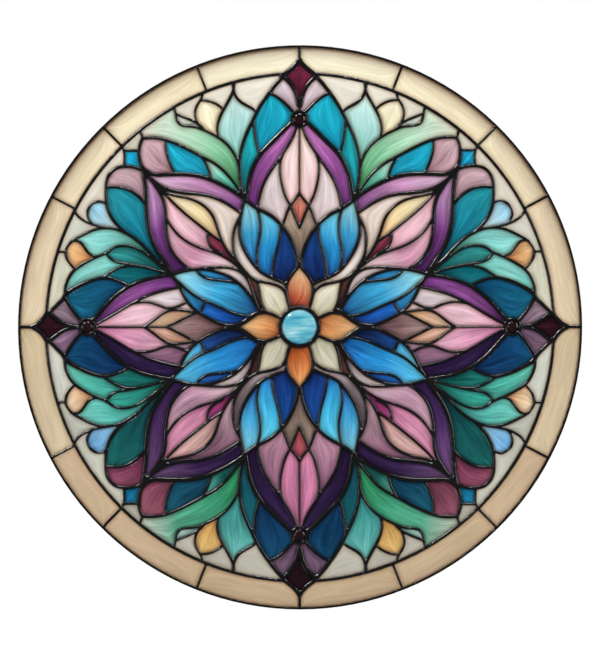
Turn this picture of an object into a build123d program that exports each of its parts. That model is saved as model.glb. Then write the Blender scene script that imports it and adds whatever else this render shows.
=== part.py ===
from build123d import *
import math
import os

# Round stained-glass panel with a kaleidoscope mandala, built in copper-foil technique.
# Frame: +X right, +Z up, the front face looks along -Y. The origin is the centre of the panel.
# All sizes are in millimetres.

# Driving dimensions
PANEL_RADIUS = 250.0
GLASS_THICKNESS = 3.0
FOIL_LAP = 0.8
BEAD_HEIGHT = 1.3
BORDER_RING_RADIUS = 225.0

# The rim is a U-shaped channel that wraps the outer edge.
RIM_DEPTH = 6.4
RIM_LIP_RADIUS = 248.3
RIM_WALL = 0.8
RIM_ROUNDING = 0.6
RIM_JOINT_GAP = 0.8

# Outer radii of the openings in the solder and of the foiled edge inside the channel,
# and the least area of an opening that is kept
OPENING_RADIUS = 247.9
FOIL_EDGE_RADIUS = PANEL_RADIUS - RIM_WALL
SMALLEST_OPENING = 10.0

# Longest stretch between the points of a redrawn curve
CURVE_SPAN = 9.0

# Widths of the solder beads
HAIR = 2.2
FINE = 2.7
MEDIUM = 3.3
BOLD = 4.3

# Round jewels and the disc at the centre
CENTRE_RING_RADIUS = 17.0
JEWEL_RING_RADIUS = 6.8
NORTH_JEWEL = 184.5
EAST_JEWEL = 188.6

# Radial seams of the border, in degrees clockwise from the top
BORDER_RADIALS = (21.5, 44.5, 62.2)

# Seams of the upper right quarter: (start width, end width, points).
# The other three quarters are mirror images.
NORTH_TIP = [
    (BOLD, BOLD, [(0, 238), (3.5, 232.5), (8.5, 228), (15.5, 222.5)]),
    (BOLD, MEDIUM, [(15.5, 222.5), (10, 218), (5, 211), (2.3, 203), (1.2, 195)]),
    (BOLD, MEDIUM, [(13, 224), (20.5, 216), (27.5, 207), (33.5, 198.5), (38.5, 189.5), (42, 182)]),
    (MEDIUM, MEDIUM, [
        (40, 186), (42.6, 181), (47.3, 171), (51, 160), (53, 149), (53.2, 137), (51.8, 125), (49, 113),
    ]),
    (FINE, FINE, [(41, 186), (40.3, 175), (38.3, 163), (35.5, 152.5)]),
    (FINE, MEDIUM, [(27.5, 207.5), (20, 204), (12.5, 198), (5.5, 190.5)]),
]
NORTH_PETAL = [
    (BOLD, BOLD, [
        (4.5, 183.5), (15, 173.5), (25, 163.5), (34.5, 153.5),
        (41, 142), (44.7, 131), (46.5, 120), (48, 112),
    ]),
    (FINE, FINE, [
        (2.5, 179.5), (6.5, 167), (12.5, 157), (17.5, 149.5),
        (25, 139), (31, 128.5), (35, 117), (37, 105),
    ]),
    (FINE, FINE, [
        (14.5, 153.5), (17.3, 144), (17.2, 136), (15.5, 126),
        (12.5, 116), (8.3, 107.7), (4.3, 98.5), (-0.5, 87),
    ]),
    (FINE, FINE, [(-0.5, 120), (4, 113), (8.3, 107.5), (12, 98.5), (15.8, 89.5)]),
]
RIBBONS = [
    (MEDIUM, BOLD, [
        (139.3, 168), (141.6, 162), (142.6, 154), (141.3, 146),
        (137.5, 139.2), (131.5, 136), (122, 135.3),
    ]),
    (BOLD, MEDIUM, [
        (123, 135.3), (108, 135.6), (96, 135), (84, 132.5), (72, 127.6), (60, 121.2), (50, 114.3),
        (38, 105.3), (27, 99.7), (17, 91.2), (9, 80.2), (4.3, 70), (2, 61), (1.5, 54),
    ]),
    (BOLD, BOLD, [
        (139.5, 141), (137.7, 132), (136.5, 121), (136, 107), (134.8, 93),
        (132.3, 81), (127.8, 70), (121, 59), (113.5, 47.5),
    ]),
    (BOLD, MEDIUM, [
        (184.5, 5), (177, 13.2), (169, 22.2), (160, 30.2),
        (150, 36.7), (138, 41.6), (126, 44.4), (114, 46),
    ]),
    (MEDIUM, MEDIUM, [
        (115, 46), (105, 49), (95, 51), (86, 51.3), (77, 50), (69, 47.5),
        (61, 43.7), (53.5, 38.3), (46.5, 31), (41, 23.5), (36, 15), (33, 11),
    ]),
]
DIAGONAL_PETAL = [
    (BOLD, FINE, [
        (138.5, 139), (131, 130.5), (121.5, 124), (110, 120.2), (98, 118.5),
        (86, 117.4), (74, 114), (62, 107.7), (51, 100),
    ]),
    (BOLD, FINE, [
        (138, 138), (131, 130), (125, 121.5), (121, 113), (119, 103), (118.6, 92),
        (117.5, 81), (114.5, 70), (109, 61.5), (102, 54.8), (94, 50.5),
    ]),
    (FINE, MEDIUM, [
        (123, 122), (110, 116.5), (98, 114), (88, 109.5), (80, 102.7), (75, 94.2),
        (71.7, 84), (68, 74.5), (62.5, 65.5), (57, 58.5), (50.5, 51), (44, 44),
    ]),
    (FINE, FINE, [(122, 121), (110, 108.2), (100, 99.2), (90, 91.2), (80.5, 83.5), (69.5, 76)]),
    (FINE, FINE, [(81, 84), (81.3, 77.5), (79, 71.5), (74.5, 67.7), (67, 64)]),
    (FINE, FINE, [
        (118.8, 98), (114.5, 90.2), (108, 82.2), (99, 75.2), (89, 70.4),
        (79, 67.2), (70, 63.7), (61.5, 58.7), (53.5, 52.5),
    ]),
]
BLUE_PETALS = [
    (MEDIUM, MEDIUM, [
        (49, 114), (51, 104), (52.8, 95), (53.5, 86), (52.3, 77), (49.3, 69),
        (44.8, 61), (38.8, 53), (32, 47), (24, 43), (16.5, 40), (11, 36.8),
    ]),
    (FINE, MEDIUM, [
        (51.5, 99.5), (56.5, 90.5), (58.8, 82), (59, 73), (57.3, 63), (52.3, 54),
        (46, 46.5), (39.5, 41.8), (31, 39.6), (22, 37.6), (15.5, 34), (11.5, 28),
    ]),
    (FINE, FINE, [(38, 106), (35.3, 96), (34.7, 87), (36, 77), (37.6, 67), (37.2, 57), (34, 47.5)]),
    (FINE, FINE, [(17.3, 92.5), (17, 84), (18.3, 75), (21, 65), (23.3, 56), (24.3, 48), (24.5, 42)]),
    (MEDIUM, MEDIUM, [
        (115, 46.5), (108.3, 39.3), (104, 30.7), (99, 21.8), (92, 14.3), (84, 9.3), (75, 4.8),
        (66.5, 1.8), (59, 1.6), (52, 3.6), (44, 8.8), (37, 13.5), (30, 14.5),
    ]),
    (FINE, MEDIUM, [
        (96, 51), (86, 52), (76, 52.6), (66, 52.8), (58, 51.5), (52, 48.7),
        (47, 43.5), (43.6, 37), (41.2, 29.5), (39, 23), (35.5, 15),
    ]),
    (FINE, FINE, [
        (112.5, 44.5), (105.5, 38), (98, 31.3), (90, 25.8), (82, 22.2),
        (74, 19), (66, 15.2), (58, 11.9), (50, 9.9), (42, 9.5),
    ]),
    (FINE, FINE, [(84.2, 24), (85.7, 17.3), (89, 11.5)]),
    (FINE, FINE, [(92, 52), (87.3, 45.8), (80, 42.4), (71, 41.3), (62.5, 40.3), (54, 38.5)]),
]
EAST_PETAL = [
    (FINE, FINE, [
        (183, 1.5), (171, 7.6), (160, 14.2), (149, 20.7),
        (137, 26.7), (124, 31.2), (114, 33.7), (105, 35.4),
    ]),
    (FINE, FINE, [
        (151.5, 19.8), (142, 22), (133, 21.8), (125, 19.4),
        (118, 16.8), (111, 17.2), (104.5, 19.7), (98, 23),
    ]),
    (FINE, FINE, [(139, -0.5), (131, 4.6), (124, 10), (117, 14.2), (109, 15), (100, 14.2), (90, 12.8)]),
    (FINE, FINE, [(119, -0.5), (111, 3.4), (103.5, 7.2), (96.5, 10.9), (90, 13)]),
]
EAST_TIP = [
    (BOLD, BOLD, [(238, 0), (232.5, 2.8), (228, 7), (224.5, 12.5)]),
    (BOLD, MEDIUM, [(224.5, 12.5), (218, 9), (212.5, 4.8), (206.5, 1.9), (198, 0.6)]),
    (MEDIUM, BOLD, [(226, 9.5), (221, 14), (215.5, 19.5), (210, 25), (207.5, 29)]),
    (BOLD, FINE, [
        (209, 26.5), (207, 29.5), (200, 34.2), (191.5, 38.7), (182.5, 42),
        (174, 43.8), (166.5, 42.7), (159, 40), (150, 36),
    ]),
    (MEDIUM, MEDIUM, [(208.2, 26.5), (203.8, 18.2), (198.5, 10.8), (193.5, 4.8)]),
]
EAST_LEAVES = [
    (MEDIUM, FINE, [
        (208, 27.5), (207.8, 36), (204.8, 44), (199.5, 51),
        (192, 56), (184, 60.5), (177, 63.5), (170, 66.2),
    ]),
    (FINE, FINE, [
        (175, 43.5), (168, 48.3), (160.5, 52.3), (152, 54.3),
        (143, 54), (133, 52), (124, 49.3), (114, 46.5),
    ]),
    (FINE, FINE, [(171.5, 67.5), (168.5, 61.5), (163, 58), (155, 56.3), (147, 55), (138, 53)]),
    (FINE, FINE, [
        (170.5, 65.5), (165.5, 70), (158, 72), (150, 71.3), (142.5, 68.3),
        (135, 63.5), (128, 58), (121, 52), (114.5, 46.5),
    ]),
    (FINE, MEDIUM, [
        (198.5, 50.5), (203, 55), (206.3, 60), (207.8, 66.5), (205.5, 72), (201, 77),
        (194, 81), (186, 85), (178, 87.5), (170, 88), (161.5, 86.5), (153, 82.8),
        (144.5, 77), (136.5, 69.5), (129, 61.5), (121.5, 54), (114, 46.5),
    ]),
    (FINE, FINE, [(203.5, 75.5), (196.5, 76.2), (192, 72.2), (188.5, 67), (183.5, 63.3), (177.5, 63.2)]),
    (FINE, FINE, [(215.2, 66.7), (207, 66.7)]),
    (FINE, FINE, [(200.5, 105.5), (196.5, 98.3), (190, 93.6), (182.5, 90.6), (174, 88.8), (165, 87.5)]),
    (FINE, FINE, [
        (169.5, 108), (174.5, 111), (180, 111.3), (185.3, 108.2),
        (188.3, 102.5), (187.3, 96), (182.5, 90),
    ]),
]
CAPSULES = [
    (MEDIUM, MEDIUM, [
        (138, 138.2), (146, 141.7), (154, 142.7), (161, 141.7), (167, 138), (170.8, 131.5),
        (172, 123), (171.8, 113), (170, 104), (166.5, 96.5), (161.5, 90), (154, 83),
    ]),
    (FINE, MEDIUM, [(172, 123.5), (162.5, 124.2), (155, 123), (148, 119.7), (142, 115), (135.5, 108)]),
    (FINE, FINE, [(159.5, 161.5), (155.9, 156.5), (155.4, 150), (155.2, 141.5)]),
    (FINE, FINE, [(156.5, 157), (150, 156.6), (142, 157)]),
    (FINE, FINE, [(142, 176), (139.3, 167.5)]),
    (MEDIUM, FINE, [
        (139, 167.5), (128, 168), (118, 166), (108, 162), (98, 157.2),
        (86, 150.7), (75, 144.7), (66, 137.2), (58, 127.7), (49.5, 115),
    ]),
    (FINE, FINE, [(87.5, 152), (83, 145.2), (80.5, 139.2), (78, 130)]),
    (FINE, FINE, [(118.3, 167), (118.7, 159), (117.2, 151), (114.7, 144), (110, 135)]),
]
NORTH_LEAVES = [
    (FINE, FINE, [
        (111.5, 196), (109.6, 186.5), (107.3, 180.6), (101, 178.5), (92, 177.4), (83, 174),
        (72, 168.2), (64, 161.7), (58, 153.7), (54.6, 145), (53, 135),
    ]),
    (FINE, FINE, [(110, 189.3), (100, 185.2), (91.5, 181.2), (85, 175.5)]),
    (FINE, FINE, [(86, 208.5), (88.3, 201), (92, 194.5), (92.6, 187.5), (90.5, 181.2), (85, 174.5)]),
    (FINE, FINE, [(88.2, 201.2), (81, 200.7), (74, 198), (67, 192.5)]),
    (MEDIUM, FINE, [
        (58.7, 218), (59.3, 208.5), (63, 201), (68, 192), (71.7, 183.5), (73, 175.5), (71.2, 167),
    ]),
    (MEDIUM, FINE, [(58.7, 218), (57.8, 208), (54.5, 202), (48.5, 197.5), (42.5, 194.3), (37.5, 189.5)]),
]
HEART = [
    (MEDIUM, MEDIUM, [
        (-0.5, 56.5), (3.5, 50.3), (8.5, 44), (11.5, 37), (11.8, 30), (10.5, 23), (8.2, 15.5),
    ]),
    (MEDIUM, MEDIUM, [
        (57.5, -0.5), (48.5, 4), (42, 8.6), (36.5, 12), (31, 12.8), (24.5, 11.2), (15.5, 7.4),
    ]),
    (FINE, MEDIUM, [(38.3, 42.3), (36.6, 37), (35.4, 30), (34, 22), (31.2, 15.2), (29, 11.5)]),
]
QUARTER_SEAMS = (
    NORTH_TIP
    + NORTH_PETAL
    + RIBBONS
    + DIAGONAL_PETAL
    + BLUE_PETALS
    + EAST_PETAL
    + EAST_TIP
    + EAST_LEAVES
    + CAPSULES
    + NORTH_LEAVES
    + HEART
)

# Every kind of pane, with a point near the middle of each of its panes in the upper right quarter
PANES = {
    "glass_border": [(227, 57), (128, 198), (44.6, 231), (188.6, 141)],
    "glass_diamonds": [(0, 219.5), (220.5, 0)],
    "glass_north_tips_lilac": [(12, 206)],
    "glass_east_tips_lilac": [(208, 10.8)],
    "glass_north_tips_teal": [(25, 182)],
    "glass_north_slim_teal": [(46, 150)],
    "glass_north_purple": [(28, 144)],
    "glass_north_pink": [(8, 139)],
    "glass_north_lilac": [(23, 115)],
    "glass_north_drops": [(0, 104.5)],
    "glass_north_taupe": [(0, 82)],
    "glass_north_navy": [(13.5, 59.5)],
    "glass_north_blue": [(28.5, 74)],
    "glass_north_sky": [(44, 85)],
    "glass_north_crescents": [(46, 57.5)],
    "glass_heart_gold_north": [(0, 32.5)],
    "glass_heart_gold_east": [(32.5, 0)],
    "glass_heart_cream": [(23, 24)],
    "glass_heart_slivers": [(38.5, 31.5)],
    "glass_east_crescents": [(56, 43.5)],
    "glass_east_ocean": [(77, 45.5)],
    "glass_east_sky": [(71, 29.5)],
    "glass_east_keel": [(94, 22.5)],
    "glass_east_navy": [(70, 10)],
    "glass_east_taupe": [(92, 0)],
    "glass_east_sand": [(117, 7)],
    "glass_east_pink": [(147.5, 9), (101.5, 17)],
    "glass_east_pearl": [(117.5, 25)],
    "glass_east_purple": [(144.5, 28.5)],
    "glass_petal_purple_inner": [(88.5, 122.7)],
    "glass_petal_purple_outer": [(124, 88)],
    "glass_petal_cream": [(70, 97)],
    "glass_petal_yellow": [(91, 100)],
    "glass_petal_pink": [(100.5, 88.5)],
    "glass_petal_crimson": [(72.5, 71)],
    "glass_petal_rose": [(93, 64)],
    "glass_capsule_mauve": [(152.6, 130), (128.8, 151)],
    "glass_capsule_teal": [(150, 99)],
    "glass_capsule_blue": [(101, 147), (149, 149)],
    "glass_capsule_mint": [(70, 133.5)],
    "glass_east_blue": [(182.6, 26)],
    "glass_east_leaf_dark": [(148, 46), (148.5, 61.5)],
    "glass_east_leaf_turquoise": [(184, 49.5), (172, 76)],
    "glass_drops": [(197.5, 64), (177, 98.5), (81, 187), (101, 182)],
    "glass_north_leaf_green": [(92, 163.5)],
    "glass_north_leaf_pale": [(57, 180)],
    "glass_background": [
        (40, 210), (71.5, 205), (99, 194), (147.7, 163), (178, 125), (199.5, 85), (213.5, 41.5),
    ],
}

# Round glass jewels
CENTRE_DOME = 3.6
JEWEL_DOME = 2.4
DOME_CLEARANCE = 0.25

# Hangers: a folded tab with an eye, soldered over a border seam, carries a wire ring.
HANGER_ANGLE = 21.5
HANGER_RADIUS = 241.5
HANGER_Y = 5.0
TAB_LENGTH = 15.0
TAB_WIDTH = 7.0
TAB_THICKNESS = 0.8
EYE_RADIUS = 2.2
EYE_BORE = 1.08
WIRE_RADIUS = 1.0
RING_HALF_WIDTH = 8.0
RING_DROP = 12.0
RING_CORNER = 2.5


def bead(start, end, points):
    """One seam as a flat strip whose width runs from start to end."""
    path = Spline(*points)
    steps = 2 * (len(points) - 1)
    left = []
    right = []
    for i in range(steps + 1):
        t = i / steps
        p = path @ t
        d = (path % t).normalized()
        half = (start + (end - start) * t) / 2
        left.append((p.X - d.Y * half, p.Y + d.X * half))
        right.append((p.X + d.Y * half, p.Y - d.X * half))
    right.reverse()
    if len(points) == 2:
        sides = (Line(left[0], left[-1]), Line(right[0], right[-1]))
    else:
        sides = (Spline(*left), Spline(*right))
    return Face(Wire([sides[0], Line(left[-1], right[0]), sides[1], Line(right[-1], left[0])]))


def polar(radius, degrees):
    """Point at an angle measured clockwise from the top."""
    turned = Vector(0, radius).rotate(Axis.Z, -degrees)
    return (turned.X, turned.Y)


def mirrored(faces):
    """The faces of the upper right quarter together with their three mirror images."""
    half = faces + [f.mirror(Plane.YZ) for f in faces]
    return half + [f.mirror(Plane.XZ) for f in half]


def disc(radius, x=0.0, y=0.0):
    return Pos(x, y) * Circle(radius).face()


def seam_strips():
    """Flat outlines of every solder seam."""
    quarter = [bead(start, end, points) for start, end, points in QUARTER_SEAMS]
    ring_points = [polar(BORDER_RING_RADIUS, 3.4 + 83.7 * i / 12) for i in range(13)]
    quarter.append(bead(MEDIUM, MEDIUM, ring_points))
    for angle in BORDER_RADIALS:
        quarter.append(bead(FINE, FINE, [polar(BORDER_RING_RADIUS, angle), polar(PANEL_RADIUS, angle)]))
    whole = mirrored(quarter)
    for turn in (0, 180):
        upright = [
            bead(MEDIUM, MEDIUM, [(0, 236), (0, PANEL_RADIUS)]),
            bead(FINE, FINE, [(0, NORTH_JEWEL + 5), (0, 204)]),
            bead(HAIR, HAIR, [(0, 118), (0, NORTH_JEWEL - 5)]),
            disc(JEWEL_RING_RADIUS + MEDIUM / 2, 0, NORTH_JEWEL),
        ]
        level = [
            bead(MEDIUM, MEDIUM, [(236, 0), (PANEL_RADIUS, 0)]),
            bead(FINE, FINE, [(EAST_JEWEL + 5, 0), (206, 0)]),
            bead(HAIR, HAIR, [(117, 0), (EAST_JEWEL - 5, 0)]),
            disc(JEWEL_RING_RADIUS + MEDIUM / 2, EAST_JEWEL, 0),
        ]
        whole += [f.rotate(Axis.Z, turn) for f in upright + level]
    whole.append(disc(CENTRE_RING_RADIUS + BOLD / 2))
    return whole


def redrawn(face):
    """The same outline with every free curve drawn again as one plain spline."""
    edges = []
    for edge in face.outer_wire().edges():
        if edge.geom_type in (GeomType.LINE, GeomType.CIRCLE):
            edges.append(edge)
        else:
            spans = max(2, math.ceil(edge.length / CURVE_SPAN))
            points = [edge.position_at(i / spans) for i in range(spans + 1)]
            ends = [edge.tangent_at(0), edge.tangent_at(1)]
            edges.append(Edge.make_spline(points, tangents=ends))
    return Face(Wire(edges))


def sort_panes(faces):
    """Put each opening under the name of the nearest pane point."""
    places = [(name, x, y) for name, points in PANES.items() for x, y in points]
    groups = {name: [] for name in PANES}
    for face in faces:
        c = face.center()
        nearest = min(places, key=lambda place: math.dist(place[1:], (abs(c.X), abs(c.Y))))
        groups[nearest[0]].append(face)
    return groups


def slab(face, low, high):
    """A solid on a flat outline, between two heights measured toward the front."""
    return Plane.XZ * Pos(0, 0, low) * Solid.extrude(face, Vector(0, 0, high - low))


def plate(outer_radius, holes, low, high):
    """A disc with holes, between two heights measured toward the front."""
    hole_wires = [h.outer_wire() for h in holes]
    outline = Face(disc(outer_radius).outer_wire(), hole_wires)
    return slab(outline, low, high)


def jewel(opening_radius, dome_height, x, y):
    """A foiled round jewel: a flat disc with a dome that stands up through its opening."""
    half = GLASS_THICKNESS / 2
    neck = opening_radius - DOME_CLEARANCE
    rise = dome_height - BEAD_HEIGHT / 2
    ball = (neck**2 + rise**2) / (2 * rise)
    base = Cylinder(opening_radius + FOIL_LAP, GLASS_THICKNESS)
    stem = Pos(0, 0, half) * Cylinder(neck, dome_height, align=(Align.CENTER, Align.CENTER, Align.MIN))
    dome = stem & Pos(0, 0, half + dome_height - ball) * Sphere(ball)
    return Plane.XZ * Pos(x, y, 0) * (base + dome)


def rim_body():
    """The whole channel section, turned around the panel's axis."""
    face_width = PANEL_RADIUS - RIM_LIP_RADIUS
    section = Pos(RIM_LIP_RADIUS, 0) * Rectangle(face_width, RIM_DEPTH, align=(Align.MIN, Align.CENTER))
    outer_corners = section.vertices().filter_by(lambda v: v.X > PANEL_RADIUS - 0.1)
    section = fillet(outer_corners, RIM_ROUNDING)
    slot_width = PANEL_RADIUS - RIM_WALL - RIM_LIP_RADIUS
    slot = Rectangle(slot_width, GLASS_THICKNESS, align=(Align.MIN, Align.CENTER))
    section -= Pos(RIM_LIP_RADIUS, 0) * slot
    return Plane.XZ * revolve(Plane.XZ * section, Axis.Z)


def hanger_tab(side):
    """Tab soldered to the back of a border seam, with the eye at its upper end."""
    x, z = polar(HANGER_RADIUS, side * HANGER_ANGLE)
    bore_line = Pos(x, HANGER_Y, z) * Rot(0, 90, 0)
    eye = bore_line * Cylinder(EYE_RADIUS, TAB_WIDTH)
    leaf_y = HANGER_Y - EYE_RADIUS + TAB_THICKNESS / 2
    leaf = Pos(x, leaf_y, z - TAB_LENGTH / 2) * Box(TAB_WIDTH, TAB_THICKNESS, TAB_LENGTH)
    foot_corners = leaf.edges().filter_by(Axis.Y).group_by(Axis.Z)[0]
    leaf = fillet(foot_corners, TAB_WIDTH / 4)
    return eye + leaf - bore_line * Cylinder(EYE_BORE, TAB_WIDTH)


def hanger_ring(side):
    """Closed wire ring whose upper bar turns in the eye."""
    x, z = polar(HANGER_RADIUS, side * HANGER_ANGLE)
    foot = RING_HALF_WIDTH * 0.7
    corners = [(RING_HALF_WIDTH, 0), (foot, -RING_DROP), (-foot, -RING_DROP), (-RING_HALF_WIDTH, 0)]
    loop = Plane.XZ * FilletPolyline(*corners, radius=RING_CORNER, close=True)
    start = Plane(origin=loop @ 0.0, z_dir=loop % 0.0)
    return Pos(x, HANGER_Y, z) * sweep(start * Circle(WIRE_RADIUS), path=loop)


half_glass = GLASS_THICKNESS / 2
bead_top = half_glass + BEAD_HEIGHT
cells = disc(OPENING_RADIUS).cut(*seam_strips()).faces()
openings = [redrawn(f) for f in cells if f.area > SMALLEST_OPENING]
groups = sort_panes(openings)

centre_opening = CENTRE_RING_RADIUS - BOLD / 2
jewel_opening = JEWEL_RING_RADIUS - MEDIUM / 2
jewel_places = [(0, NORTH_JEWEL), (EAST_JEWEL, 0), (0, -NORTH_JEWEL), (-EAST_JEWEL, 0)]
round_places = [(centre_opening, 0, 0)] + [(jewel_opening, x, y) for x, y in jewel_places]
round_openings = [disc(radius, x, y) for radius, x, y in round_places]
round_seats = [disc(radius + FOIL_LAP, x, y) for radius, x, y in round_places]

parts = {}
seats = []
for name, faces in groups.items():
    lapped = [redrawn(offset(f, FOIL_LAP, kind=Kind.ARC).face()) for f in faces]
    seats += lapped
    parts[name] = Compound(children=[slab(f, -half_glass, half_glass) for f in lapped])

parts["seam_core"] = plate(FOIL_EDGE_RADIUS, seats + round_seats, -half_glass, half_glass)
parts["front_bead"] = plate(RIM_LIP_RADIUS, openings + round_openings, half_glass, bead_top)
parts["back_bead"] = plate(RIM_LIP_RADIUS, openings + round_openings, -bead_top, -half_glass)
parts["centre_jewel"] = jewel(centre_opening, CENTRE_DOME, 0, 0)
parts["garnet_jewels"] = Compound(children=[jewel(jewel_opening, JEWEL_DOME, x, y) for x, y in jewel_places])

rim = rim_body()
joint = Pos(0, 0, -PANEL_RADIUS) * Box(RIM_JOINT_GAP, 2 * RIM_DEPTH, 20)
parts["rim_channel"] = rim - joint
parts["rim_joint_solder"] = rim & joint

for label, side in (("left", -1), ("right", 1)):
    parts["hanger_tab_" + label] = hanger_tab(side)
    parts["hanger_ring_" + label] = hanger_ring(side)

os.makedirs("parts", exist_ok=True)
for name, shape in parts.items():
    export_step(shape, "parts/" + name + ".step", write_pcurves=False)
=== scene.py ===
# Looks for the round stained-glass mandala panel: streaky glass, rounded solder beads,
# jewels and soft studio light.

import math

import bpy
import numpy as np
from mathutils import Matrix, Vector, geometry, kdtree, noise


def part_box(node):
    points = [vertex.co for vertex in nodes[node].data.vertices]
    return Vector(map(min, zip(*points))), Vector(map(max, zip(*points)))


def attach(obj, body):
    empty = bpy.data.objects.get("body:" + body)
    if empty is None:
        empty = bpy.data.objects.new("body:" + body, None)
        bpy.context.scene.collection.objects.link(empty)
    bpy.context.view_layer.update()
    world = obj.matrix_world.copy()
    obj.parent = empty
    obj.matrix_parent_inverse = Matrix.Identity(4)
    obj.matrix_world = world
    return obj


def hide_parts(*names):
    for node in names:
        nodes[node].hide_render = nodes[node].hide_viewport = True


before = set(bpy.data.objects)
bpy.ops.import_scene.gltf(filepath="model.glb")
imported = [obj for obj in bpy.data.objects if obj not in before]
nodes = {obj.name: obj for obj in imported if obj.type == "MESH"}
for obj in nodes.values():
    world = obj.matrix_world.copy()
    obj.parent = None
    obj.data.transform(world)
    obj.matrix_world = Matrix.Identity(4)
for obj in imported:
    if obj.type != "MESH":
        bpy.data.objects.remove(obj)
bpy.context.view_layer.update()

MM = 0.001
PANEL = "panel"

# From the frame: half the glass, how far the solder stands out from mid-glass, and its outer radius
GLASS_FACE = -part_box("seam_core")[0].y
BEAD_FACE = -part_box("front_bead")[0].y
BEAD_EDGE_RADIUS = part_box("front_bead")[1].x

# Solder bead grid and profile
FRONT_STEP = 0.5 * MM
BACK_STEP = 0.8 * MM
FRONT_ASPECT = 0.6
BACK_ASPECT = 0.5
BEAD_LIMIT = 2.1 * MM
FRONT_SWEEPS = 260
BACK_SWEEPS = 120
BEAD_INSET = 0.3 * MM
BEAD_DIP = 0.06 * MM
BEAD_WOBBLE = 0.05
TUCK = 0.5 * MM

# Pane meshes
OUTLINE_STEP = 1.3 * MM
FILL_STEP = 2.1 * MM
PILLOW = 0.5 * MM
PILLOW_REACH = 3.0 * MM
FOIL_LAP = 0.8 * MM
# Painted shade on the glass beside the solder seams reaches this far in
SHADE_REACH = 4.6 * MM
HEX_ROW = 0.866
EDGE_GAP = 0.6
BACK_PILLOW = 0.4
WAVE = 0.09 * MM
FLOW_TAPER = 0.12
SEED_STEP = 7.3
# Strength of the painted shade beside the seams, on bright panes and on calm border and background panes
SEAM_SHADE = 0.66
CALM_SEAM_SHADE = 0.3
CALM_STREAK = 0.25
LUMINANCE = np.array([0.21, 0.72, 0.07])

# Jewels
JEWEL_SEGMENTS = 96
JEWEL_RINGS = 22
JEWEL_LIP = 0.1 * MM
JEWEL_UNEVEN = 0.04 * MM
SHOULDER_PART = 0.3


def srgb(r, g, b):
    """A colour in linear light from the usual 0 to 255 steps."""
    steps = [c / 255 for c in (r, g, b)]
    return np.array([c / 12.92 if c <= 0.04045 else ((c + 0.055) / 1.055) ** 2.4 for c in steps])


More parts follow.
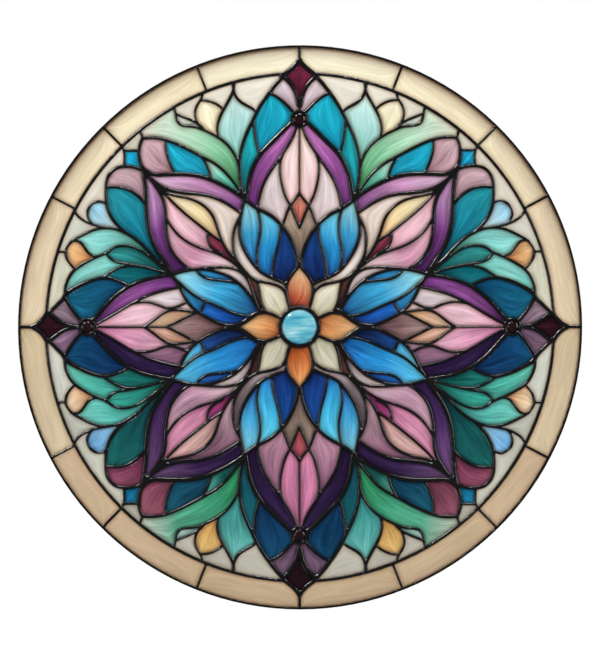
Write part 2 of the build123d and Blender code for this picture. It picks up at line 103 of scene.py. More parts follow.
# One row for each kind of pane: a point in it (mm, folded to the upper right quarter), then its
# colours from the end near the centre to the outer end, in the upper and in the lower half.
LOOKS = [
    ((227, 57), [(222, 202, 170), (228, 209, 178)], [(208, 188, 154), (214, 195, 162)]),
    ((128, 198), [(238, 223, 188), (243, 231, 198)], [(200, 175, 142), (207, 182, 150)]),
    ((44.6, 231), [(243, 233, 202), (247, 240, 211)], [(200, 175, 142), (207, 182, 150)]),
    ((188.6, 141), [(232, 215, 181), (237, 223, 192)], [(202, 177, 145), (209, 184, 152)]),
    ((0, 219.5), [(84, 22, 44), (112, 38, 62)], [(28, 8, 18), (38, 12, 24)]),
    ((220.5, 0), [(44, 10, 22), (38, 8, 20)], [(44, 10, 22), (38, 8, 20)]),
    ((12, 206), [(192, 168, 180), (218, 204, 210)], [(92, 66, 92), (118, 92, 116)]),
    ((208, 10.8), [(118, 92, 110), (152, 130, 144)], [(106, 78, 104), (140, 110, 134)]),
    ((25, 182), [(12, 130, 162), (28, 172, 194)], [(6, 42, 78), (10, 68, 104)]),
    ((46, 150), [(18, 116, 132), (30, 178, 182)], [(12, 70, 86), (22, 102, 114)]),
    ((28, 144), [(86, 32, 98), (152, 84, 152), (188, 116, 178)], [(32, 16, 48), (42, 24, 62), (52, 34, 76)]),
    ((8, 139), [(246, 206, 208), (246, 228, 226)], [(210, 132, 166), (188, 112, 150)]),
    ((23, 115), [(202, 184, 186), (224, 212, 213)], [(180, 134, 152), (148, 98, 126)]),
    ((0, 104.5), [(190, 88, 84), (222, 150, 122)], [(172, 80, 86), (148, 66, 80)]),
    ((0, 82), [(132, 108, 94), (186, 166, 146)], [(106, 86, 78), (150, 130, 116)]),
    ((13.5, 59.5), [(10, 18, 64), (22, 70, 138)], [(12, 32, 92), (20, 78, 154)]),
    (
        (28.5, 74),
        [(16, 68, 144), (40, 150, 208), (116, 208, 228)],
        [(28, 112, 190), (66, 182, 224), (98, 206, 234)],
    ),
    (
        (44, 85),
        [(22, 82, 162), (58, 152, 196), (152, 216, 222)],
        [(18, 80, 166), (66, 160, 206), (126, 206, 226)],
    ),
    (
        (46, 57.5),
        [(220, 212, 208), (236, 230, 226), (160, 148, 142)],
        [(206, 194, 198), (128, 112, 116), (104, 88, 94)],
    ),
    (
        (0, 32.5),
        [(116, 24, 22), (178, 86, 58), (214, 156, 112), (240, 214, 172)],
        [(132, 48, 22), (190, 98, 48), (214, 136, 78), (228, 166, 108)],
    ),
    (
        (32.5, 0),
        [(160, 74, 30), (206, 146, 92), (228, 188, 138)],
        [(160, 74, 30), (206, 146, 92), (228, 188, 138)],
    ),
    ((23, 24), [(196, 188, 158), (242, 238, 218)], [(178, 176, 150), (218, 214, 192)]),
    ((38.5, 31.5), [(50, 28, 24), (104, 62, 54)], [(54, 32, 28), (96, 58, 50)]),
    (
        (56, 43.5),
        [(158, 144, 148), (222, 212, 216), (248, 244, 246)],
        [(146, 128, 136), (202, 190, 196), (222, 212, 218)],
    ),
    ((77, 45.5), [(22, 100, 172), (60, 168, 220)], [(14, 62, 142), (38, 106, 186)]),
    (
        (71, 29.5),
        [(12, 44, 108), (60, 168, 216), (154, 222, 232)],
        [(18, 78, 154), (40, 142, 206), (92, 194, 228)],
    ),
    ((94, 22.5), [(22, 98, 158), (60, 160, 204)], [(48, 146, 198), (112, 202, 226)]),
    ((70, 10), [(10, 34, 98), (22, 82, 164), (30, 104, 184)], [(10, 22, 68), (18, 46, 94), (26, 76, 146)]),
    ((92, 0), [(74, 50, 52), (126, 96, 96), (172, 146, 140)], [(74, 50, 52), (126, 96, 96), (172, 146, 140)]),
    ((117, 7), [(204, 158, 118), (230, 196, 168)], [(180, 130, 104), (210, 168, 152)]),
    (
        (147.5, 9),
        [(222, 182, 192), (232, 190, 204), (224, 162, 190)],
        [(222, 170, 190), (218, 154, 182), (194, 116, 158)],
    ),
    ((101.5, 17), [(220, 204, 204), (240, 224, 226)], [(150, 114, 130), (182, 146, 164)]),
    ((117.5, 25), [(206, 192, 200), (236, 226, 230)], [(118, 80, 104), (154, 114, 138)]),
    (
        (144.5, 28.5),
        [(104, 48, 120), (148, 82, 152), (66, 28, 82)],
        [(36, 18, 54), (46, 28, 68), (32, 16, 48)],
    ),
    (
        (88.5, 122.7),
        [(98, 40, 112), (194, 138, 182), (222, 192, 218)],
        [(34, 16, 54), (50, 30, 70), (100, 70, 108)],
    ),
    (
        (124, 88),
        [(44, 16, 62), (118, 60, 128), (200, 156, 196)],
        [(34, 18, 54), (70, 42, 92), (106, 72, 118)],
    ),
    (
        (70, 97),
        [(206, 190, 178), (230, 216, 206), (250, 246, 242)],
        [(192, 158, 168), (134, 94, 114), (94, 50, 76)],
    ),
    (
        (91, 100),
        [(232, 194, 146), (240, 222, 172), (250, 240, 208)],
        [(188, 142, 142), (206, 166, 160), (216, 168, 170)],
    ),
    (
        (100.5, 88.5),
        [(218, 154, 180), (236, 192, 204), (236, 180, 196)],
        [(186, 106, 146), (212, 144, 172), (194, 118, 154)],
    ),
    ((72.5, 71), [(92, 22, 46), (146, 62, 86)], [(116, 26, 84), (160, 66, 118)]),
    (
        (93, 64),
        [(236, 222, 226), (204, 142, 168), (230, 186, 202)],
        [(206, 182, 190), (188, 144, 166), (202, 160, 182)],
    ),
    ((152.6, 130), [(168, 130, 142), (204, 174, 182)], [(104, 44, 70), (144, 76, 100)]),
    ((128.8, 151), [(162, 120, 132), (214, 180, 188)], [(104, 50, 72), (148, 84, 102)]),
    ((150, 99), [(8, 68, 90), (20, 124, 144), (38, 148, 160)], [(6, 52, 60), (16, 80, 82), (22, 102, 98)]),
    (
        (101, 147),
        [(28, 142, 168), (26, 156, 186), (32, 178, 206)],
        [(10, 58, 80), (14, 68, 92), (22, 92, 116)],
    ),
    ((149, 149), [(22, 154, 196), (32, 172, 210)], [(10, 96, 134), (14, 116, 152)]),
    (
        (70, 133.5),
        [(54, 154, 126), (104, 190, 166), (190, 230, 218)],
        [(14, 66, 64), (24, 88, 82), (86, 174, 156)],
    ),
    ((182.6, 26), [(6, 60, 94), (12, 80, 112), (20, 102, 134)], [(6, 40, 80), (10, 58, 100), (14, 78, 118)]),
    ((148, 46), [(4, 76, 86), (12, 108, 118)], [(8, 78, 76), (26, 114, 106)]),
    ((148.5, 61.5), [(12, 86, 88), (48, 142, 138)], [(12, 98, 90), (56, 166, 148)]),
    (
        (184, 49.5),
        [(92, 178, 166), (136, 208, 200), (116, 194, 182)],
        [(46, 134, 120), (78, 178, 162), (108, 194, 176)],
    ),
    (
        (172, 76),
        [(36, 118, 94), (126, 202, 194), (146, 216, 208)],
        [(28, 118, 104), (86, 180, 170), (114, 202, 186)],
    ),
    ((197.5, 64), [(208, 136, 72), (232, 194, 144)], [(204, 142, 82), (236, 220, 188)]),
    ((177, 98.5), [(194, 230, 236), (140, 200, 228)], [(152, 208, 240), (106, 168, 222)]),
    ((81, 187), [(242, 234, 194), (250, 244, 214)], [(202, 150, 78), (224, 188, 120)]),
    ((101, 182), [(196, 228, 220), (222, 236, 230)], [(146, 206, 198), (180, 224, 218)]),
    (
        (92, 163.5),
        [(36, 134, 70), (136, 200, 158), (192, 224, 200), (220, 216, 200)],
        [(34, 130, 72), (56, 148, 110), (86, 168, 138), (196, 202, 188)],
    ),
    (
        (57, 180),
        [(128, 200, 188), (172, 220, 214), (204, 234, 230)],
        [(44, 132, 126), (76, 162, 156), (114, 194, 186)],
    ),
    ((40, 210), [(230, 225, 210), (235, 230, 215)], [(193, 191, 177), (200, 198, 184)]),
    ((71.5, 205), [(230, 224, 208), (235, 229, 213)], [(187, 183, 169), (195, 191, 177)]),
    ((99, 194), [(221, 215, 199), (227, 221, 205)], [(189, 187, 174), (197, 195, 182)]),
    ((147.7, 163), [(202, 198, 182), (210, 206, 190)], [(172, 170, 158), (184, 182, 170)]),
    ((178, 125), [(216, 210, 194), (223, 216, 201)], [(197, 198, 185), (203, 205, 191)]),
    ((199.5, 85), [(206, 208, 194), (213, 214, 200)], [(182, 184, 172), (192, 194, 182)]),
    ((213.5, 41.5), [(208, 208, 187), (214, 213, 192)], [(204, 206, 194), (212, 213, 202)]),
]
BORDER_ROWS = 4
BACKGROUND_ROW = len(LOOKS) - 7
# Painted shadow of the rim on the border panes: brown darkening towards the outer edge, stronger in the upper
# half
PAINTED_RIM_SHADE = srgb(112, 76, 52)
SHADE_START = 0.2335
SHADE_WIDTH = 0.0142
SHADE_CURVE = 1.9
SHADE_LEAST = 0.14
SHADE_GAIN = 0.66
SHADE_BOTTOM = -0.02
SHADE_RISE = 0.16


def mesh_arrays(node):
    """Merged points and triangles of a CAD node."""
    mesh = nodes[node].data
    co = np.empty(len(mesh.vertices) * 3)
    mesh.vertices.foreach_get("co", co)
    points, index = np.unique(np.round(co.reshape(-1, 3), 6), axis=0, return_inverse=True)
    mesh.calc_loop_triangles()
    corners = np.empty(len(mesh.loop_triangles) * 3, np.int32)
    mesh.loop_triangles.foreach_get("vertices", corners)
    return points, index.reshape(-1)[corners].reshape(-1, 3)


def outlines(node, level):
    """Closed outlines, as (x, z) arrays, of a node's flat face at y = level."""
    points, triangles = mesh_arrays(node)
    flat = np.abs(points[:, 1] - level) < 2e-6
    cap = triangles[flat[triangles].all(axis=1)]
    edges = np.concatenate([cap[:, [0, 1]], cap[:, [1, 2]], cap[:, [2, 0]]])
    present = {(a, b) for a, b in edges.tolist()}
    following = {}
    for a, b in present:
        if (b, a) not in present:
            following.setdefault(a, []).append(b)
    loops = []
    while following:
        start = min(following)
        loop = [start]
        at = following[start].pop()
        if not following[start]:
            del following[start]
        while at != start and at in following:
            loop.append(at)
            ahead = following[at].pop()
            if not following[at]:
                del following[at]
            at = ahead
        if len(loop) > 5:
            loops.append(points[loop][:, [0, 2]])
    return loops


def area(loop):
    x, z = loop[:, 0], loop[:, 1]
    return 0.5 * np.sum(x * np.roll(z, -1) - np.roll(x, -1) * z)


def middle(loop):
    """Centre of the area inside a closed outline."""
    x, z = loop[:, 0], loop[:, 1]
    x1, z1 = np.roll(x, -1), np.roll(z, -1)
    cross = x * z1 - x1 * z
    return np.array([np.sum((x + x1) * cross), np.sum((z + z1) * cross)]) / (3 * cross.sum())


def respaced(loop, step):
    """The outline with even spacing between its corners, which stay."""
    gap = np.linalg.norm(np.roll(loop, -1, axis=0) - loop, axis=1)
    loop = loop[gap > 1e-6]
    ahead = np.roll(loop, -1, axis=0) - loop
    behind = loop - np.roll(loop, 1, axis=0)
    turn = np.arctan2(
        behind[:, 0] * ahead[:, 1] - behind[:, 1] * ahead[:, 0],
        (behind * ahead).sum(axis=1),
    )
    corners = np.flatnonzero(np.abs(turn) > 0.5).tolist()
    if not corners:
        corners = [0]
    loop = np.roll(loop, -corners[0], axis=0)
    corners = [c - corners[0] for c in corners] + [len(loop)]
    closed = np.vstack([loop, loop[:1]])
    result = []
    for first, last in zip(corners[:-1], corners[1:]):
        run = closed[first : last + 1]
        along = np.concatenate([[0], np.cumsum(np.linalg.norm(np.diff(run, axis=0), axis=1))])
        count = max(1, int(round(along[-1] / step)))
        at = np.linspace(0, along[-1], count + 1)[:-1]
        result.append(np.column_stack([np.interp(at, along, run[:, k]) for k in (0, 1)]))
    return np.vstack(result)


def inside(points, loop):
    """Which points lie inside a closed outline."""
    x, z = points[:, 0][:, None], points[:, 1][:, None]
    x0, z0 = loop[:, 0][None], loop[:, 1][None]
    x1, z1 = np.roll(x0, -1, axis=1), np.roll(z0, -1, axis=1)
    spans = (z0 > z) != (z1 > z)
    with np.errstate(divide="ignore", invalid="ignore"):
        cross = x0 + (z - z0) * (x1 - x0) / (z1 - z0)
    return (spans & (x < cross)).sum(axis=1) % 2 == 1


def distance(points, loop):
    """Distance from each point to a closed outline."""
    a = loop[None]
    b = np.roll(loop, -1, axis=0)[None]
    p = points[:, None]
    ab = b - a
    t = np.clip(((p - a) * ab).sum(axis=2) / np.maximum((ab * ab).sum(axis=2), 1e-18), 0, 1)
    return np.linalg.norm(p - (a + t[..., None] * ab), axis=2).min(axis=1)


def flow_on_outline(loop):
    """Along and across values on an outline that runs between its two furthest points."""
    gaps = np.linalg.norm(loop[:, None] - loop[None], axis=2)
    i, j = np.unravel_index(np.argmax(gaps), gaps.shape)
    if np.linalg.norm(loop[i]) > np.linalg.norm(loop[j]):
        i, j = j, i
    n = len(loop)
    along = np.zeros(n)
    across = np.zeros(n)
    for way in (1, -1):
        count = (j - i) % n if way == 1 else (i - j) % n
        path = [(i + way * k) % n for k in range(count + 1)]
        steps = np.linalg.norm(np.diff(loop[path], axis=0), axis=1)
        t = np.concatenate([[0], np.cumsum(steps)]) / steps.sum()
        along[path] = t
        across[path] = way * np.clip(np.minimum(t, 1 - t) / FLOW_TAPER, 0, 1)
    return along, across, gaps[i, j]


def spread_inward(points, loop, values):
    """Mean value interpolation of values on an outline to points inside it."""
    d = loop[None] - points[:, None]
    r = np.linalg.norm(d, axis=2)
    d1 = np.roll(d, -1, axis=1)
    r1 = np.roll(r, -1, axis=1)
    cross = d[..., 0] * d1[..., 1] - d[..., 1] * d1[..., 0]
    dot = (d * d1).sum(axis=2)
    half = (r * r1 - dot) / np.where(np.abs(cross) < 1e-15, 1e-15, cross)
    weights = (half + np.roll(half, 1, axis=1)) / r
    weights /= weights.sum(axis=1, keepdims=True)
    return weights @ values


def gradient(stops, t):
    """Colours along a list of stops, for t from 0 to 1."""
    colours = np.array([srgb(*c) for c in stops])
    at = np.linspace(0, 1, len(stops))
    return np.column_stack([np.interp(t, at, colours[:, k]) for k in range(3)])


def ripple(x, z, seed):
    """Gentle unevenness of hand-rolled sheet: broad waves with a finer ripple."""
    broad = noise.noise(Vector((x * 70, z * 70, seed)))
    return broad + 0.4 * noise.noise(Vector((x * 210, z * 210, seed + 9)))


def pane_parts(loop, seed):
    """Points, triangles and per-point looks of one pane, as a closed sheet with slightly pillowed faces."""
    loop = respaced(loop, OUTLINE_STEP)
    if area(loop) < 0:
        loop = loop[::-1]
    low, high = loop.min(axis=0), loop.max(axis=0)
    rows = int((high[1] - low[1]) / (FILL_STEP * HEX_ROW)) + 2
    columns = int((high[0] - low[0]) / FILL_STEP) + 2
    grid = np.array(
        [
            (low[0] + (c + 0.5 * (r % 2)) * FILL_STEP, low[1] + r * FILL_STEP * HEX_ROW)
            for r in range(rows)
            for c in range(columns)
        ]
    )
    grid = grid[inside(grid, loop)]
    reach = distance(grid, loop)
    clear = reach > OUTLINE_STEP * EDGE_GAP
    grid, reach = grid[clear], reach[clear]
    n = len(loop)
    flat = [Vector(p) for p in np.vstack([loop, grid])]
    ring = [(i, (i + 1) % n) for i in range(n)]
    made, _, faces, origins, _, _ = geometry.delaunay_2d_cdt(flat, ring, [], 1, 1e-7)
    source = [o[0] if o else 0 for o in origins]
    xz = np.array([tuple(p) for p in made])
    m = len(xz)
    along, across, length = flow_on_outline(loop)
    edge_values = np.column_stack([along, across])
    values = np.vstack([edge_values, spread_inward(grid, loop, edge_values)])[source]
    depth = np.concatenate([np.zeros(n), reach])[source]
    at = middle(loop)
    folded = np.abs(at) / MM
    row = min(range(len(LOOKS)), key=lambda k: math.dist(LOOKS[k][0], folded))
    upper = at[1] > -1 * MM
    stops = LOOKS[row][1] if upper else LOOKS[row][2]
    colour = gradient(stops, np.clip(values[:, 0], 0, 1))
    if row < BORDER_ROWS:
        # Painted rim shadow: border glass darkens to brown towards the rim, more in the upper half
        radius = np.linalg.norm(xz, axis=1)
        shade = np.clip((radius - SHADE_START) / SHADE_WIDTH, 0, 1) ** SHADE_CURVE
        height = np.clip((xz[:, 1] - SHADE_BOTTOM) / SHADE_RISE, 0, 1)
        amount = (SHADE_LEAST + SHADE_GAIN * height) * shade
        colour = colour * (1 - amount[:, None]) + PAINTED_RIM_SHADE * amount[:, None]
    calm = row < BORDER_ROWS or row >= BACKGROUND_ROW
    light = colour @ LUMINANCE
    streak = np.full(m, CALM_STREAK) if calm else np.clip(1.15 - light, 0.4, 1.0)
    rise = PILLOW * (1 - np.exp(-((depth / PILLOW_REACH) ** 1.5)))
    wave = np.array([ripple(x, z, seed) for x, z in xz])
    rise = rise + WAVE * wave * np.clip(depth / PILLOW_REACH, 0, 1)
    front = np.column_stack([xz[:, 0], -GLASS_FACE - rise, xz[:, 1]])
    back = np.column_stack([xz[:, 0], GLASS_FACE + BACK_PILLOW * rise, xz[:, 1]])
    position = {s: k for k, s in enumerate(source)}
    border = [position[i] for i in range(n)]
    tris = [tuple(f) for f in faces]
    if tris:
        a, b, c = (xz[k] for k in tris[0])
        if (b[0] - a[0]) * (c[1] - a[1]) - (b[1] - a[1]) * (c[0] - a[0]) < 0:
            tris = [t[::-1] for t in tris]
    solid = tris + [tuple(k + m for k in reversed(t)) for t in tris]
    for k in range(n):
        p, q = border[k], border[(k + 1) % n]
        solid.append((q, p, p + m, q + m))
    width = abs(area(loop)) / length
    flow = np.column_stack([values[:, 0] * length / MM, values[:, 1] * width * 0.5 / MM])
    # Painted shade: the glass is drawn darker near the solder seams, 1 where it is unshaded
    reach_in = np.clip((depth - FOIL_LAP + BEAD_INSET) / SHADE_REACH, 0, 1)
    unshaded = 1 - (CALM_SEAM_SHADE if calm else SEAM_SHADE) * (1 - reach_in) ** 2
    looks = {
        "tint": np.tile(np.column_stack([colour, streak]), (2, 1)),
        "flow": np.tile(np.column_stack([flow, np.full(m, seed * SEED_STEP)]), (2, 1)),
        "seam_unshaded": np.tile(unshaded, 2),
    }
    return np.vstack([front, back]), solid, looks


def new_object(name, points, faces, material, body, replaced):
    """A smooth-shaded piece that rides on a body and takes the place of CAD nodes."""
    mesh = bpy.data.meshes.new(name)
    mesh.from_pydata([tuple(p) for p in points], [], faces)
    mesh.validate()
    mesh.polygons.foreach_set("use_smooth", [True] * len(mesh.polygons))
    mesh.materials.append(material)
    piece = bpy.data.objects.new(name, mesh)
    bpy.context.scene.collection.objects.link(piece)
    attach(piece, body)
    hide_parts(*replaced)
    return piece


def set_looks(piece, looks):
    """Stores per-point values as mesh attributes for the material."""
    mesh = piece.data
    kinds = {"tint": ("FLOAT_COLOR", "color"), "flow": ("FLOAT_VECTOR", "vector"), "seam_unshaded": ("FLOAT", "value")}
    for name, values in looks.items():
        kind, field = kinds[name]
        layer = mesh.attributes.new(name, kind, "POINT")
        layer.data.foreach_set(field, np.ascontiguousarray(values, np.float32).reshape(-1))


# ---------------------------------------------------------------- materials

# Places of the colour sockets on a mix node, whose names repeat for each data type
COLOUR_A, COLOUR_B, COLOUR_RESULT = 6, 7, 2


class Nodes:
    """Short way to write a material's node tree."""

    def __init__(self, name):
        self.material = bpy.data.materials.new(name)
        self.material.use_nodes = True
        self.tree = self.material.node_tree
        self.tree.nodes.clear()
        self.shader = self.add("ShaderNodeBsdfPrincipled")
        output = self.add("ShaderNodeOutputMaterial")
        self.link(self.shader.outputs["BSDF"], output.inputs["Surface"])

    def add(self, kind, **settings):
        node = self.tree.nodes.new(kind)
        for key, value in settings.items():
            setattr(node, key, value)
        return node

    def link(self, out, into):
        self.tree.links.new(out, into)

    def value(self, source, target):
        if hasattr(source, "is_linked"):
            self.link(source, target)
        else:
            target.default_value = source

    def math(self, operation, a, b=0.0, clamp=False):
        node = self.add("ShaderNodeMath", operation=operation, use_clamp=clamp)
        self.value(a, node.inputs[0])
        self.value(b, node.inputs[1])
        return node.outputs[0]

    def span(self, source, low, high, new_low=0.0, new_high=1.0):
        node = self.add("ShaderNodeMapRange")
        self.value(source, node.inputs["Value"])
        node.inputs["From Min"].default_value = low
        node.inputs["From Max"].default_value = high
        node.inputs["To Min"].default_value = new_low
        node.inputs["To Max"].default_value = new_high
        return node.outputs["Result"]

    def attribute(self, name, output):
        return self.add("ShaderNodeAttribute", attribute_name=name).outputs[output]

    def noise(self, vector, scale, detail=4.0, roughness=0.55):
        node = self.add("ShaderNodeTexNoise")
        self.link(vector, node.inputs["Vector"])
        node.inputs["Scale"].default_value = scale
        node.inputs["Detail"].default_value = detail
        node.inputs["Roughness"].default_value = roughness
        return node.outputs["Fac"]

    def stretch(self, vector, scale):
        node = self.add("ShaderNodeMapping")
        self.link(vector, node.inputs["Vector"])
        node.inputs["Scale"].default_value = scale
        return node.outputs["Vector"]

    def mix(self, kind, amount, a, b):
        node = self.add("ShaderNodeMix", data_type="RGBA", blend_type=kind)
        self.value(amount, node.inputs["Factor"])
        self.value(a, node.inputs[COLOUR_A])
        self.value(b, node.inputs[COLOUR_B])
        return node.outputs[COLOUR_RESULT]

    def bump(self, height, strength, depth):
        node = self.add("ShaderNodeBump")
        node.inputs["Strength"].default_value = strength
        node.inputs["Distance"].default_value = depth
        self.link(height, node.inputs["Height"])
        self.link(node.outputs["Normal"], self.shader.inputs["Normal"])

    def set(self, **values):
        for key, value in values.items():
            self.shader.inputs[key.replace("_", " ")].default_value = value


def glass_material(name, gloss):
    """Opalescent sheet: the pane's colour and streaks that follow its shape, with painted shade beside the
    solder seams, warm brown on pale panes.
    """
    n = Nodes(name)
    tint = n.attribute("tint", "Color")
    streak = n.attribute("tint", "Alpha")
    flow = n.attribute("flow", "Vector")
    fine = n.noise(n.stretch(flow, (0.026, 0.62, 1.0)), 1.0, 5.0, 0.7)
    broad = n.noise(n.stretch(flow, (0.03, 0.2, 1.0)), 1.0, 3.0)
    wisps = n.noise(n.stretch(flow, (0.04, 0.6, 1.7)), 1.0, 2.0, 0.5)
    waves = n.math("ADD", n.span(fine, 0.3, 0.7, -0.42, 0.42), n.span(broad, 0.3, 0.7, -0.24, 0.24))
    shade = n.math("ADD", n.math("MULTIPLY", waves, streak), 1.0)
    grey = n.add("ShaderNodeCombineColor")
    for channel in ("Red", "Green", "Blue"):
        n.link(shade, grey.inputs[channel])
    colour = n.mix("MULTIPLY", 1.0, tint, grey.outputs["Color"])
    milk = n.math("MULTIPLY", n.span(wisps, 0.52, 0.78, 0.0, 0.5), streak)
    lifted = n.mix("ADD", 1.0, colour, (0.004, 0.0045, 0.005, 1))
    lighter = n.mix("MULTIPLY", 1.0, lifted, (1.7, 1.7, 1.7, 1))
    colour = n.mix("MIX", milk, colour, lighter)
    # Painted shade beside the solder: warm brown on pale panes, then darker towards the seam
    unshaded_share = n.attribute("seam_unshaded", "Fac")
    shaded = n.math("SUBTRACT", 1.0, unshaded_share, clamp=True)
    warm_shade = n.math("MULTIPLY", n.span(shaded, 0.0, 0.55, 0.0, 1.0), n.math("SUBTRACT", 1.0, streak))
    colour = n.mix("MULTIPLY", warm_shade, colour, (0.92, 0.62, 0.4, 1))
    colour = n.mix("MULTIPLY", shaded, colour, (0.07, 0.05, 0.055, 1))
    n.link(colour, n.shader.inputs["Base Color"])
    n.link(n.span(broad, 0.3, 0.7, gloss, gloss + 0.12), n.shader.inputs["Roughness"])
    n.set(Specular_IOR_Level=0.22, Coat_Weight=0.06, Coat_Roughness=0.06)
    n.bump(n.math("ADD", fine, broad), 0.12, 0.0004)
    return n.material


def patina_material(name):
    """Black patina on hand-run solder, glossy and mottled."""
    n = Nodes(name)
    at = n.add("ShaderNodeTexCoord").outputs["Object"]
    mottle = n.noise(at, 160.0, 4.0)
    grain = n.noise(at, 1400.0, 3.0)
    ramp = n.add("ShaderNodeValToRGB")
    ramp.color_ramp.elements[0].position = 0.35
    ramp.color_ramp.elements[0].color = (0.0012, 0.001, 0.0012, 1)
    ramp.color_ramp.elements[1].position = 0.75
    ramp.color_ramp.elements[1].color = (0.0045, 0.0035, 0.004, 1)
    n.link(mottle, ramp.inputs["Fac"])
    n.link(ramp.outputs["Color"], n.shader.inputs["Base Color"])
    n.link(n.span(mottle, 0.3, 0.7, 0.1, 0.2), n.shader.inputs["Roughness"])
    n.set(Specular_IOR_Level=0.7, Coat_Weight=0.9, Coat_Roughness=0.08)
    n.bump(n.math("ADD", n.math("MULTIPLY", mottle, 2.0), grain), 0.05, 0.0002)
    return n.material


def channel_material(name):
    """Blackened rim channel with faint drawing lines and mottling."""
    n = Nodes(name)
    at = n.add("ShaderNodeTexCoord").outputs["Object"]
    mottle = n.noise(at, 90.0, 5.0)
    grain = n.noise(n.stretch(at, (60.0, 3000.0, 60.0)), 1.0, 2.0)
    ramp = n.add("ShaderNodeValToRGB")
    ramp.color_ramp.elements[0].color = (0.0016, 0.0013, 0.0013, 1)
    ramp.color_ramp.elements[1].color = (0.007, 0.0058, 0.0052, 1)
    n.link(mottle, ramp.inputs["Fac"])
    n.link(ramp.outputs["Color"], n.shader.inputs["Base Color"])
    n.link(n.span(mottle, 0.3, 0.7, 0.26, 0.42), n.shader.inputs["Roughness"])
    n.set(Specular_IOR_Level=0.35)
    n.bump(n.math("ADD", mottle, grain), 0.1, 0.0002)
    return n.material


def jewel_material(name, ramp_stops, stretch, gloss):
    """Domed jewel with swirled colour."""
    n = Nodes(name)
    at = n.add("ShaderNodeTexCoord").outputs["Object"]
    swirl = n.add("ShaderNodeTexNoise")
    n.link(n.stretch(at, stretch), swirl.inputs["Vector"])
    swirl.inputs["Scale"].default_value = 1.0
    swirl.inputs["Detail"].default_value = 4.0
    swirl.inputs["Distortion"].default_value = 0.5
    ramp = n.add("ShaderNodeValToRGB")
    elements = ramp.color_ramp.elements
    while len(elements) < len(ramp_stops):
        elements.new(0.5)
    for element, (position, colour) in zip(elements, ramp_stops):
        element.position = position
        element.color = (*srgb(*colour), 1)
    n.link(swirl.outputs["Fac"], ramp.inputs["Fac"])
    n.link(ramp.outputs["Color"], n.shader.inputs["Base Color"])
    n.set(Roughness=gloss, Specular_IOR_Level=0.6, Coat_Weight=0.6, Coat_Roughness=0.04)
    n.bump(swirl.outputs["Fac"], 0.1, 0.0004)
    return n.material


GLASS = glass_material("streaky_glass", 0.2)
PATINA = patina_material("black_patina")
CHANNEL = channel_material("rim_channel_black")
TURQUOISE = jewel_material(
    "turquoise_jewel",
    [(0.3, (58, 148, 184)), (0.45, (96, 186, 206)), (0.58, (138, 208, 220)), (0.74, (214, 240, 242))],
    (28.0, 28.0, 170.0),
    0.08,
)
GARNET = jewel_material(
    "garnet_jewel",
    [(0.35, (8, 1, 4)), (0.7, (40, 6, 15))],
    (120.0, 120.0, 120.0),
    0.04,
)

# ---------------------------------------------------------------- panes

seed = 0
for node in sorted(nodes):
    if not node.startswith("glass_"):
        continue
    all_points = []
    all_faces = []
    all_looks = []
    offset = 0
    loops = outlines(node, -GLASS_FACE)
    loops.sort(key=lambda p: tuple(np.round(middle(p), 5)))
    for loop in loops:
        seed += 1
        points, faces, looks = pane_parts(loop, seed)
        all_points.append(points)
        all_faces += [tuple(k + offset for k in f) for f in faces]
        all_looks.append(looks)
        offset += len(points)
    piece = new_object("pane_" + node[6:], np.vstack(all_points), all_faces, GLASS, PANEL, [node])
    set_looks(piece, {k: np.concatenate([part[k] for part in all_looks]) for k in all_looks[0]})

# ---------------------------------------------------------------- solder beads


def covered(loops, step, half):
    """Grid of which cells lie inside any outline, by counting crossings along each row."""
    mask = np.zeros((2 * half + 1, 2 * half + 1), bool)
    for loop in loops:
        x = loop[:, 0] / step + half
        z = loop[:, 1] / step + half
        x1, z1 = np.roll(x, -1), np.roll(z, -1)
        low, high = np.minimum(z, z1), np.maximum(z, z1)
        first_row = int(math.ceil(z.min()))
        last_row = int(math.floor(z.max()))
        first_column = int(math.floor(x.min())) - 1
        last_column = int(math.ceil(x.max())) + 1
        toggles = np.zeros((last_row - first_row + 1, last_column - first_column + 2), np.int32)
        for k in np.flatnonzero(np.ceil(low) < high):
            rows = np.arange(int(math.ceil(low[k])), int(math.ceil(high[k])))
            at = x[k] + (rows - z[k]) * (x1[k] - x[k]) / (z1[k] - z[k])
            np.add.at(toggles, (rows - first_row, np.ceil(at).astype(int) - first_column), 1)
        filled = np.cumsum(toggles, axis=1)[:, :-1] % 2 == 1
        rows = slice(first_row, last_row + 1)
        mask[rows, first_column : last_column + 1] |= filled
    return mask


def widened(loop, amount):
    """The outline pushed outward by a small amount."""
    if area(loop) < 0:
        loop = loop[::-1]
    way = np.roll(loop, -1, axis=0) - np.roll(loop, 1, axis=0)
    way /= np.linalg.norm(way, axis=1, keepdims=True)
    return loop + amount * np.column_stack([way[:, 1], -way[:, 0]])


